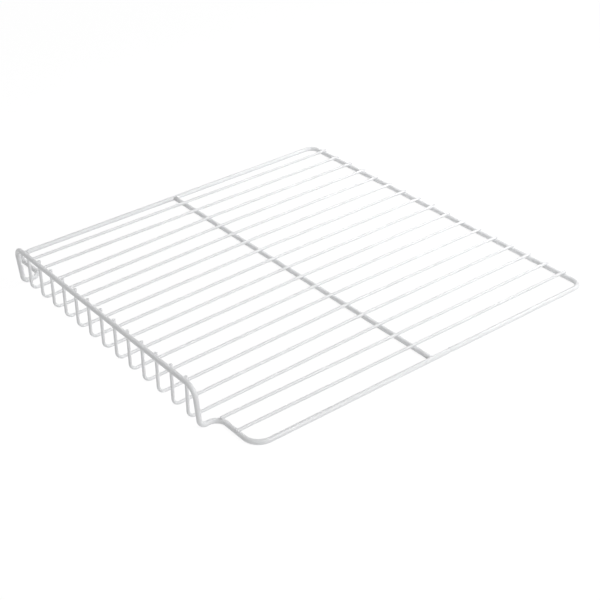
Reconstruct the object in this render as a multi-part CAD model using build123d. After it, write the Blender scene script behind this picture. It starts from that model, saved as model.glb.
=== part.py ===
from build123d import *
import math
import os

# Wire shelf for a refrigerator: one bent frame wire, a support wire across the
# middle and a deck of thinner wires, welded together and coated white.
# +X runs across the shelf, +Y from the raised lip to the back, +Z up. The origin
# is below the middle of the shelf, in the plane that the frame stands on.

# Overall sizes, over the coated wires
WIDTH = 519.0  # over the two side runs of the frame
DEPTH = 505.0  # from the front of the raised rail to the back of the back run
LIP_HEIGHT = 54.5  # from the underside of the frame to the top of the raised rail

# Wires, over their coating
FRAME_DIA = 6.0  # frame wire and middle support wire
DECK_DIA = 3.8
WELD_SET = 0.5  # how far a weld presses two crossing wires into one another
END_ROUND = 0.6  # the coating rounds the rim of a cut end

# Deck wires, evenly spaced between the side runs
DECK_WIRES = 17
SHORT_PER_SIDE = 2  # the outermost wires end on the low front runs of the frame
END_INSET = 0.4  # cut ends stop this far inside the outer edge of the frame wire
MID_TO_BACK = 236.5  # between the centrelines of the middle support and the back run

# Raised lip
LIP_FALL = 5.4  # the lip wires fall this much from the middle support to the lip
LIP_LEAN = 2.2  # degrees that the upturned legs lean back
TIP_BELOW_TOP = 1.0  # leg tips stop this far below the top of the rail
DROP_BESIDE_LIP = 21.5  # from the outermost lip wire to the drop at the rail's end
NOTCH_DEPTH = 23.5  # the low front runs stand this far behind the feet of the drops

# Bend radii, on the centreline of the wire
BACK_CORNER_R = 13.0
FRONT_CORNER_R = 18.5
NOTCH_R = 13.0
DROP_FOOT_R = 8.0
RAIL_CORNER_R = 13.0
LIP_BEND_R = 8.0
MID_BEND_R = 300.0

# Heights and places that follow from the sizes above
frame_r = FRAME_DIA / 2
deck_r = DECK_DIA / 2
weld_spacing = frame_r + deck_r - WELD_SET
lean = math.radians(LIP_LEAN)

frame_z = frame_r
deck_z = frame_z + weld_spacing
lip_z = deck_z - LIP_FALL
rail_z = LIP_HEIGHT - frame_r
tip_z = LIP_HEIGHT - TIP_BELOW_TOP

back_y = DEPTH / 2 - frame_r
mid_y = back_y - MID_TO_BACK
rail_y = -DEPTH / 2 + frame_r
lip_y = rail_y + weld_spacing / math.cos(lean) - (rail_z - lip_z) * math.tan(lean)
tip_y = lip_y + (tip_z - lip_z) * math.tan(lean)
low_y = lip_y + NOTCH_DEPTH
back_end_y = back_y + frame_r - END_INSET
short_end_y = low_y - frame_r + END_INSET

side_x = WIDTH / 2 - frame_r
pitch = 2 * side_x / (DECK_WIRES + 1)
last_lip_x = pitch * ((DECK_WIRES - 1) / 2 - SHORT_PER_SIDE)
drop_x = last_lip_x + DROP_BESIDE_LIP


def round_wire(path, diameter):
    """A round wire along a path of straight runs and tangent arcs."""
    start = Plane(origin=path @ 0, z_dir=path % 0)
    return sweep(start * Circle(diameter / 2), path=path)


def rounded_ends(wire):
    """The wire with the rims of its two cut ends rounded."""
    cut_ends = wire.faces().filter_by(GeomType.PLANE)
    return fillet(cut_ends.edges(), END_ROUND)


def frame_wire():
    """The closed frame: back run, side runs, low front runs, drops and raised rail."""
    path = FilletPolyline(
        (0, back_y, frame_z),
        (side_x, back_y, frame_z),
        (side_x, low_y, frame_z),
        (drop_x, low_y, frame_z),
        (drop_x, lip_y, frame_z),
        (drop_x, rail_y, rail_z),
        (0, rail_y, rail_z),
        radius=[BACK_CORNER_R, FRONT_CORNER_R, NOTCH_R, DROP_FOOT_R, RAIL_CORNER_R],
    )
    right_half = round_wire(path, FRAME_DIA)
    return right_half + mirror(right_half, about=Plane.YZ)


def mid_support_wire(frame):
    """The straight wire under the deck, welded between the side runs."""
    reach = side_x - frame_r + WELD_SET
    path = Line((-reach, mid_y, frame_z), (reach, mid_y, frame_z))
    return round_wire(path, FRAME_DIA) - frame


def short_wire(x):
    """A straight deck wire from a low front run to the back run."""
    path = Line((x, short_end_y, deck_z), (x, back_end_y, deck_z))
    return rounded_ends(round_wire(path, DECK_DIA))


def lip_wire(x):
    """A deck wire that falls to the lip and turns up behind the raised rail."""
    path = FilletPolyline(
        (x, back_end_y, deck_z),
        (x, mid_y, deck_z),
        (x, lip_y, lip_z),
        (x, tip_y, tip_z),
        radius=[MID_BEND_R, LIP_BEND_R],
    )
    return rounded_ends(round_wire(path, DECK_DIA))


def shelf():
    """Every wire of the shelf by name, seated in the wires that carry it."""
    frame = frame_wire()
    mid_support = mid_support_wire(frame)
    wires = {"frame_wire": frame, "mid_support_wire": mid_support}
    for number in range(1, DECK_WIRES + 1):
        x = pitch * (number - (DECK_WIRES + 1) / 2)
        is_short = min(number, DECK_WIRES + 1 - number) <= SHORT_PER_SIDE
        wire = short_wire(x) if is_short else lip_wire(x)
        wires[f"deck_wire_{number:02d}"] = wire - frame - mid_support
    return wires


os.makedirs("parts", exist_ok=True)
for name, wire in shelf().items():
    export_step(wire, f"parts/{name}.step")
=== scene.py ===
import math

import bmesh
import bpy
from mathutils import Matrix, Quaternion, Vector


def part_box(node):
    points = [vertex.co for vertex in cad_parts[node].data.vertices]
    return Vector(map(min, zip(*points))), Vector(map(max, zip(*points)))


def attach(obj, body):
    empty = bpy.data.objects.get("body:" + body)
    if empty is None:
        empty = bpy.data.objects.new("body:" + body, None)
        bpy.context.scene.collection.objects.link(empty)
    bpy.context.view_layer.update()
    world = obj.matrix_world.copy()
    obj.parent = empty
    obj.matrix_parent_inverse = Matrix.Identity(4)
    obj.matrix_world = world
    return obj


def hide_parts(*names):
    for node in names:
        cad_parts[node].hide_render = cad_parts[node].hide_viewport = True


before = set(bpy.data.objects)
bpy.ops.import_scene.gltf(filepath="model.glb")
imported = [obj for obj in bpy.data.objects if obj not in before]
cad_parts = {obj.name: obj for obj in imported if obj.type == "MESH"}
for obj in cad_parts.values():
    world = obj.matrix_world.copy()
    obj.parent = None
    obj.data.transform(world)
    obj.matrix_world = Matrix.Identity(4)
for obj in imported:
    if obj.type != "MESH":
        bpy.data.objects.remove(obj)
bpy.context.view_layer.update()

# Frame wire: one steel wire, 6 mm over its white coating, bent to a closed loop of back run, side runs,
# low front runs, drops and the raised rail of the lip. It lies on the clips of the cabinet, and its two
# ends meet in a butt weld on the right side run.
frame_low, frame_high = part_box("frame_wire")
frame_radius = 0.0030
frame_sides = 32
straight_step = 0.012
bend_step = 5
touching = 1e-6
side_x = frame_high.x - frame_radius
back_y = frame_high.y - frame_radius
rail_y = frame_low.y + frame_radius
rail_z = frame_high.z - frame_radius
frame_z = frame_low.z + frame_radius
drop_x = 0.1925
foot_y = -0.246998
notch_depth = 0.0235
low_y = foot_y + notch_depth
back_corner = notch_bend = rail_corner = 0.013
front_corner = 0.0185
foot_bend = 0.008


def draw_straight(wire, ring, by):
    """Draws a ring of edges out into a straight run of wire and gives the ring at its end."""
    steps = max(1, round(by.length / straight_step))
    for _ in range(steps):
        drawn = bmesh.ops.extrude_edge_only(wire, edges=ring)["geom"]
        corners = [p for p in drawn if isinstance(p, bmesh.types.BMVert)]
        bmesh.ops.translate(wire, verts=corners, vec=by / steps)
        ring = [p for p in drawn if isinstance(p, bmesh.types.BMEdge)]
    return ring


def draw_bend(wire, ring, centre, axis, turn):
    """Draws a ring of edges round a bend and gives the ring at its end."""
    corners = list({corner for edge in ring for corner in edge.verts})
    spun = bmesh.ops.spin(
        wire,
        geom=ring + corners,
        cent=centre,
        axis=axis,
        angle=turn,
        steps=max(2, round(math.degrees(turn) / bend_step)),
        use_merge=False,
    )
    return [p for p in spun["geom_last"] if isinstance(p, bmesh.types.BMEdge)]


def draw_wire(wire, radius, sides, corners, bends):
    """Draws a round wire past its corners, bent at each one, and gives the rings at its two ends."""
    points = [Vector(corner) for corner in corners]
    at = points[0]
    along = (points[1] - at).normalized()
    facing = Matrix.Translation(at) @ along.to_track_quat("Z", "Y").to_matrix().to_4x4()
    circle = bmesh.ops.create_circle(wire, segments=sides, radius=radius, matrix=facing)["verts"]
    first = ring = list({edge for corner in circle for edge in corner.link_edges})
    for corner, after, bend in zip(points[1:], points[2:], bends):
        onward = (after - corner).normalized()
        turn = along.angle(onward)
        axis = along.cross(onward).normalized()
        setback = bend * math.tan(turn / 2)
        ring = draw_straight(wire, ring, corner - along * setback - at)
        ring = draw_bend(wire, ring, corner - along * setback + axis.cross(along) * bend, axis, turn)
        at = corner + onward * setback
        along = onward
    return first, draw_straight(wire, ring, points[-1] - at)


def close_up(wire):
    """Merges what meets, turns every face outwards and smooths the shading."""
    bmesh.ops.remove_doubles(wire, verts=wire.verts, dist=touching)
    bmesh.ops.recalc_face_normals(wire, faces=wire.faces)
    for face in wire.faces:
        face.smooth = True


frame_mesh = bmesh.new()
draw_wire(
    frame_mesh,
    frame_radius,
    frame_sides,
    [
        (0, back_y, frame_z),
        (side_x, back_y, frame_z),
        (side_x, low_y, frame_z),
        (drop_x, low_y, frame_z),
        (drop_x, foot_y, frame_z),
        (drop_x, rail_y, rail_z),
        (0, rail_y, rail_z),
    ],
    [back_corner, front_corner, notch_bend, foot_bend, rail_corner],
)
half = frame_mesh.verts[:] + frame_mesh.edges[:] + frame_mesh.faces[:]
bmesh.ops.mirror(frame_mesh, geom=half, matrix=Matrix.Identity(4), merge_dist=touching, axis="X")
close_up(frame_mesh)

# The butt weld: the coating sinks into the line in front of it, and its bead stands up on the top and the
# inside only, because it is dressed flush where the run lies on the clips.
butt_y = 0.0385
butt_centre = Vector((side_x, butt_y, frame_z))
butt_reach = 0.02
groove, bead_girth = 0.84, 1.06
butt_rings = (
    (-0.0020, 1.0),
    (-0.0012, groove),
    (-0.0004, 1.0),
    (0.0, bead_girth),
    (0.0008, bead_girth),
    (0.0016, 1.0),
)
for offset, girth in butt_rings:
    near = [f for f in frame_mesh.faces if (f.calc_center_median() - butt_centre).length < butt_reach]
    around = {p for f in near for p in (*f.verts, *f.edges)}
    cut = bmesh.ops.bisect_plane(
        frame_mesh,
        geom=near + list(around),
        plane_co=butt_centre + Vector((0, offset, 0)),
        plane_no=(0, 1, 0),
    )["geom_cut"]
    ring = [p for p in cut if isinstance(p, bmesh.types.BMVert)]
    bmesh.ops.scale(frame_mesh, verts=ring, vec=(girth, 1, girth), space=Matrix.Translation(-butt_centre))
    bead = max(girth - 1, 0) * frame_radius
    bmesh.ops.translate(frame_mesh, verts=ring, vec=(-bead, 0, bead))


class Shade:
    """A value in a material's nodes. An expression on it adds the Math nodes that work it out."""

    def __init__(self, tree, socket=None):
        self.tree = tree
        self.socket = socket

    def node(self, kind, settings, sockets, output=0):
        made = self.tree.nodes.new(kind)
        for name, value in settings.items():
            setattr(made, name, value)
        for name, value in sockets.items():
            if isinstance(value, Shade):
                self.tree.links.new(value.socket, made.inputs[name])
            else:
                made.inputs[name].default_value = value
        return Shade(self.tree, made.outputs[output])

    def maths(self, operation, first, second):
        return self.node("ShaderNodeMath", {"operation": operation}, {0: first, 1: second})

    def __add__(self, other):
        return self.maths("ADD", self, other)

    def __radd__(self, other):
        return self.maths("ADD", other, self)

    def __mul__(self, other):
        return self.maths("MULTIPLY", self, other)

    def __rmul__(self, other):
        return self.maths("MULTIPLY", other, self)


def bare_tree(owner):
    """The node tree of a material or the world, with only its output left, and that output."""
    owner.use_nodes = True
    owner.node_tree.nodes.clear()
    kind = "ShaderNodeOutputWorld" if isinstance(owner, bpy.types.World) else "ShaderNodeOutputMaterial"
    return Shade(owner.node_tree), owner.node_tree.nodes.new(kind).inputs["Surface"]


def white_coating(name, clean, shaded, gloss):
    """Baked white coating: a faint orange peel, slow drifts of tone, and gloss that follows its thickness."""
    material = bpy.data.materials.new(name)
    coat, surface = bare_tree(material)
    place = coat.node("ShaderNodeTexCoord", {}, {}, "Object")
    drift, flow, peel = (
        coat.node(
            "ShaderNodeTexNoise",
            {},
            {"Vector": place, "Scale": scale, "Detail": detail, "Roughness": fading},
        )
        for scale, detail, fading in ((24.0, 3.0, 0.6), (160.0, 2.0, 0.5), (900.0, 1.0, 0.4))
    )
    tone = coat.node(
        "ShaderNodeMix",
        {"data_type": "RGBA"},
        {0: 0.65 * drift + 0.35 * flow, 6: (*shaded, 1), 7: (*clean, 1)},
        2,
    )
    relief = coat.node(
        "ShaderNodeBump",
        {},
        {"Strength": 0.25, "Distance": 0.00004, "Height": 0.7 * peel + 0.3 * flow},
    )
    paint = coat.node(
        "ShaderNodeBsdfPrincipled",
        {},
        {"Base Color": tone, "Roughness": gloss + 0.16 * flow, "Normal": relief, "IOR": 1.5},
    )
    coat.tree.links.new(paint.socket, surface)
    return material


wire_clean, wire_shaded, wire_gloss = (0.872, 0.878, 0.886), (0.838, 0.845, 0.854), 0.22
wire_coating = white_coating("white_coating", wire_clean, wire_shaded, wire_gloss)


def fit_piece(name, mesh, material, *nodes):
    """Hands a finished mesh over as a piece that rides on the shelf and stands for these nodes."""
    data = bpy.data.meshes.new(name)
    mesh.to_mesh(data)
    mesh.free()
    data.materials.append(material)
    piece = bpy.data.objects.new(name, data)
    bpy.context.scene.collection.objects.link(piece)
    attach(piece, "root")
    if nodes:
        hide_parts(*nodes)


fit_piece("bent_frame_wire", frame_mesh, wire_coating, "frame_wire")

# Middle support: a straight length of the same wire under the deck. It is cut to length, butted between the
# side runs and welded there, and the coating fills the corner round each end.
mid_low, mid_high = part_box("mid_support_wire")
mid_y = (mid_low.y + mid_high.y) / 2
mid_mesh = bmesh.new()
mid_path = [(mid_low.x, mid_y, frame_z), (mid_high.x, mid_y, frame_z)]
mid_ends = draw_wire(mid_mesh, frame_radius, frame_sides, mid_path, [])
for ring in mid_ends:
    bmesh.ops.edgeloop_fill(mid_mesh, edges=ring)
close_up(mid_mesh)
fit_piece("middle_support_wire", mid_mesh, wire_coating, "mid_support_wire")

# Deck wires: seventeen lengths of thinner wire, 3.8 mm over the coating, laid across the back run and the
# middle support and welded to both. The coating rounds the rims of their cut ends.
deck_radius = 0.0019
deck_sides = 24
end_round = 0.0006
deck_count = 17
short_each_side = 2
weld_set = 0.0005
weld_spacing = frame_radius + deck_radius - weld_set
deck_z = frame_z + weld_spacing
lip_fall = 0.0054
lip_lean = math.radians(2.2)
tip_y, tip_z = -0.24502, 0.0535
mid_bend, lip_bend = 0.300, 0.008


def round_off(wire, ring):
    """Closes the cut end of a wire and rounds its rim."""
    bmesh.ops.edgeloop_fill(wire, edges=ring)
    bmesh.ops.bevel(
        wire,
        geom=ring,
        offset=end_round,
        offset_type="OFFSET",
        affect="EDGES",
        segments=4,
        profile=0.5,
        material=-1,
    )


weld_xs = []
for number in range(1, deck_count + 1):
    node = f"deck_wire_{number:02d}"
    wire_low, wire_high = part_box(node)
    wire_x = (wire_low.x + wire_high.x) / 2
    weld_xs.append(wire_x)
    if min(number, deck_count + 1 - number) <= short_each_side:
        # The two outermost on each side end on the low front runs.
        path = [(wire_x, wire_low.y, deck_z), (wire_x, wire_high.y, deck_z)]
        bends = []
    else:
        # The others fall a little to the lip, turn up there and are welded behind its rail.
        path = [
            (wire_x, wire_high.y, deck_z),
            (wire_x, mid_y, deck_z),
            (wire_x, foot_y, deck_z - lip_fall),
            (wire_x, tip_y, tip_z),
        ]
        bends = [mid_bend, lip_bend]
    deck_mesh = bmesh.new()
    for ring in draw_wire(deck_mesh, deck_radius, deck_sides, path, bends):
        round_off(deck_mesh, ring)
    close_up(deck_mesh)
    fit_piece(f"coated_{node}", deck_mesh, wire_coating, node)

# Welds: each deck wire is spot-welded where it crosses the frame and the middle support, and the support is
# welded between the side runs. The coating gathers in the corners there and runs out into smooth fillets.
weld_clean, weld_shaded, weld_gloss = (0.862, 0.866, 0.872), (0.815, 0.820, 0.826), 0.26
weld_coating = white_coating("coating_over_welds", weld_clean, weld_shaded, weld_gloss)
rim = 0.00003
collar_sides = 24
skin_steps = 5
half_across, half_along = 0.00175, 0.0024
room_at_end, room_at_tip = 0.0019, 0.0015
crease_share, sunk_share, sunk = 0.72, 0.8, 0.0004
collar_reach, least_reach, least_crease = 0.0014, 0.0032, 0.0016
collar_girth, collar_flare = 1.012, 1.4


def gather_coating(mesh, place, profile):
    """A closed collar of coating round a weld. At every angle its skin leaves one wire, dips to the crease
    and climbs onto the other wire, and both its rims are sunk into the wires."""
    corners = bmesh.ops.create_circle(mesh, segments=collar_sides, radius=1.0)["verts"]
    ring = list({edge for corner in corners for edge in corner.link_edges})
    bmesh.ops.edgeloop_fill(mesh, edges=ring)
    rings = [corners]
    last = skin_steps + 2
    for _ in range(last):
        drawn = bmesh.ops.extrude_edge_only(mesh, edges=ring)["geom"]
        ring = [p for p in drawn if isinstance(p, bmesh.types.BMEdge)]
        rings.append([p for p in drawn if isinstance(p, bmesh.types.BMVert)])
    bmesh.ops.edgeloop_fill(mesh, edges=ring)
    for step, corners in enumerate(rings):
        share = (step - 1) / skin_steps
        for corner in corners:
            under, foot, crease, lip, inside = (Vector(p) for p in profile(corner.co.x, corner.co.y))
            skin = foot.lerp(crease, share).lerp(crease.lerp(lip, share), share)
            corner.co = place @ {0: under, last: inside}.get(step, skin)


def crossing(toward_end):
    """The fillet between a frame wire along X and a deck wire across it along Y, with this much room
    towards the deck wire's end."""

    def profile(cosine, sine):
        x = half_across * cosine
        y = (toward_end if sine > 0 else half_along) * sine
        on_frame = math.sqrt(frame_radius**2 - y**2)
        on_deck = weld_spacing - math.sqrt(deck_radius**2 - x**2)
        crease_x, crease_y = crease_share * x, crease_share * y
        above = weld_spacing - math.sqrt(deck_radius**2 - crease_x**2)
        below = math.sqrt(frame_radius**2 - crease_y**2)
        return (
            (sunk_share * x, sunk_share * y, on_frame - sunk),
            (x, y, on_frame + rim),
            (crease_x, crease_y, (above + below) / 2),
            (1.02 * x, y, on_deck - rim),
            (sunk_share * x, sunk_share * y, on_deck + sunk),
        )

    return profile


def butted(cosine, sine):
    """The fillet between the end of the middle support, along Z here, and the side run that it meets."""
    across, height = frame_radius * cosine, frame_radius * sine
    face = math.sqrt(max(frame_radius**2 - height**2, 0.0))
    foot = max(face + collar_reach, least_reach)
    spread, lip_height = collar_flare * across, 0.99 * height
    lip = math.sqrt(frame_radius**2 - lip_height**2)
    return (
        (0.85 * across, 0.85 * height, foot + 0.0003),
        (collar_girth * across, max(collar_girth * height, -frame_radius), foot),
        (across, 0.985 * height, max(face, least_crease)),
        (spread, lip_height, lip + rim),
        (0.9 * spread, 0.9 * lip_height, lip - 0.0005),
    )


def finish_welds(name, mesh):
    """Turns the fillets outwards, smooths them and hands them over as one piece."""
    close_up(mesh)
    fit_piece(name, mesh, weld_coating)


short_xs = weld_xs[:short_each_side] + weld_xs[-short_each_side:]
lip_xs = weld_xs[short_each_side:-short_each_side]
facing_front = Matrix.Rotation(math.pi, 4, "Z")
up_the_leg = Matrix(
    (
        (-1, 0, 0, 0),
        (0, math.sin(lip_lean), math.cos(lip_lean), 0),
        (0, math.cos(lip_lean), -math.sin(lip_lean), 0),
        (0, 0, 0, 1),
    )
)
back_welds, mid_welds, low_welds, rail_welds = (bmesh.new() for _ in range(4))
for x in weld_xs:
    gather_coating(back_welds, Matrix.Translation((x, back_y, frame_z)), crossing(room_at_end))
    gather_coating(mid_welds, Matrix.Translation((x, mid_y, frame_z)), crossing(half_along))
for x in short_xs:
    on_low_run = Matrix.Translation((x, low_y, frame_z)) @ facing_front
    gather_coating(low_welds, on_low_run, crossing(room_at_end))
for x in lip_xs:
    behind_rail = Matrix.Translation((x, rail_y, rail_z)) @ up_the_leg
    gather_coating(rail_welds, behind_rail, crossing(room_at_tip))
for side in (-1, 1):
    inwards = Matrix(((0, 0, -side, 0), (-side, 0, 0, 0), (0, 1, 0, 0), (0, 0, 0, 1)))
    beside_run = Matrix.Translation((side * side_x, mid_y, frame_z)) @ inwards
    gather_coating(mid_welds, beside_run, butted)
finish_welds("welds_on_back_run", back_welds)
finish_welds("welds_on_middle_support", mid_welds)
finish_welds("welds_on_low_front_runs", low_welds)
finish_welds("welds_behind_rail", rail_welds)

# Floor: a plain white studio table that the shelf stands on. To the camera most of its white is a glow of its
# own, so that it runs out into the room without an edge, and the rest is matt and keeps the shelf's shadow.
floor_reach = 8.0
glow_share = 0.78
floor_mesh = bmesh.new()
bmesh.ops.create_grid(floor_mesh, x_segments=1, y_segments=1, size=floor_reach)
floor_data = bpy.data.meshes.new("studio_floor")
floor_mesh.to_mesh(floor_data)
floor_mesh.free()
floor = bpy.data.objects.new("studio_floor", floor_data)
bpy.context.scene.collection.objects.link(floor)


def seen_directly(shade):
    """One for what the camera sees, straight, mirrored or through something clear, and nought otherwise."""
    ray = shade.tree.nodes.new("ShaderNodeLightPath")
    straight, mirrored, through = (
        Shade(shade.tree, ray.outputs[f"Is {kind} Ray"]) for kind in ("Camera", "Glossy", "Transmission")
    )
    return straight + mirrored + through


floor_white = bpy.data.materials.new("studio_floor_white")
table, table_surface = bare_tree(floor_white)
table_place = table.node("ShaderNodeTexCoord", {}, {}, "Object")
table_drift = table.node("ShaderNodeTexNoise", {}, {"Vector": table_place, "Scale": 3.0, "Detail": 2.0})
table_tone = table.node(
    "ShaderNodeMix",
    {"data_type": "RGBA"},
    {0: table_drift, 6: (0.90, 0.90, 0.90, 1), 7: (0.92, 0.92, 0.92, 1)},
    2,
)
matt = table.node("ShaderNodeBsdfPrincipled", {}, {"Base Color": table_tone, "Roughness": 0.9})
glow = table.node("ShaderNodeEmission", {}, {"Color": (1, 1, 1, 1), "Strength": 1.13})
glowing = glow_share * seen_directly(table)
table_mix = table.node("ShaderNodeMixShader", {}, {0: glowing, 1: matt, 2: glow})
table.tree.links.new(table_mix.socket, table_surface)
floor_data.materials.append(floor_white)

# Light: a wide soft lamp to the right, a narrower one behind that lifts the back of the deck, and an even
# white room around them.


def softbox(name, place, aim, size, power, spread):
    """A square soft lamp that stands at one place and faces another."""
    light = bpy.data.lights.new(name, "AREA")
    light.shape = "SQUARE"
    light.size = size
    light.energy = power
    light.spread = math.radians(spread)
    lamp = bpy.data.objects.new(name, light)
    lamp.location = place
    lamp.rotation_euler = (Vector(aim) - lamp.location).to_track_quat("-Z", "Y").to_euler()
    bpy.context.scene.collection.objects.link(lamp)


softbox("right_softbox", (2.16, 0.90, 1.86), aim=(0, 0, 0), size=1.6, power=34.5, spread=180)
softbox("back_softbox", (0.25, 1.25, 1.45), aim=(0, 0.40, 0), size=0.5, power=0.9, spread=42)

room = bpy.data.worlds.new("white_room")
bpy.context.scene.world = room
air, air_surface = bare_tree(room)
soft = air.node("ShaderNodeBackground", {}, {"Color": (1, 1, 1, 1), "Strength": 0.42})
plain = air.node("ShaderNodeBackground", {}, {"Color": (1, 1, 1, 1), "Strength": 1.0})
room_mix = air.node("ShaderNodeMixShader", {}, {0: seen_directly(air), 1: soft, 2: plain})
air.tree.links.new(room_mix.socket, air_surface)
bpy.context.scene.view_settings.view_transform = "Standard"

# Camera: a long lens in front of the shelf and to its right, looking down on the deck. It is turned a little
# about its own line of sight.
view_from = Vector((1.13752, -0.80344, 0.81736))
view_to = Vector((0.07140, -0.02518, 0.00812))
view_roll = math.radians(-2.752)
camera_data = bpy.data.cameras.new("camera")
camera_data.lens = 79.86
camera_data.sensor_width = 36.0
camera_data.clip_end = 50.0
camera = bpy.data.objects.new("camera", camera_data)
camera.location = view_from
level = (view_to - view_from).to_track_quat("-Z", "Y")
camera.rotation_euler = (level @ Quaternion((0, 0, 1), view_roll)).to_euler()
bpy.context.scene.collection.objects.link(camera)
bpy.context.scene.camera = camera
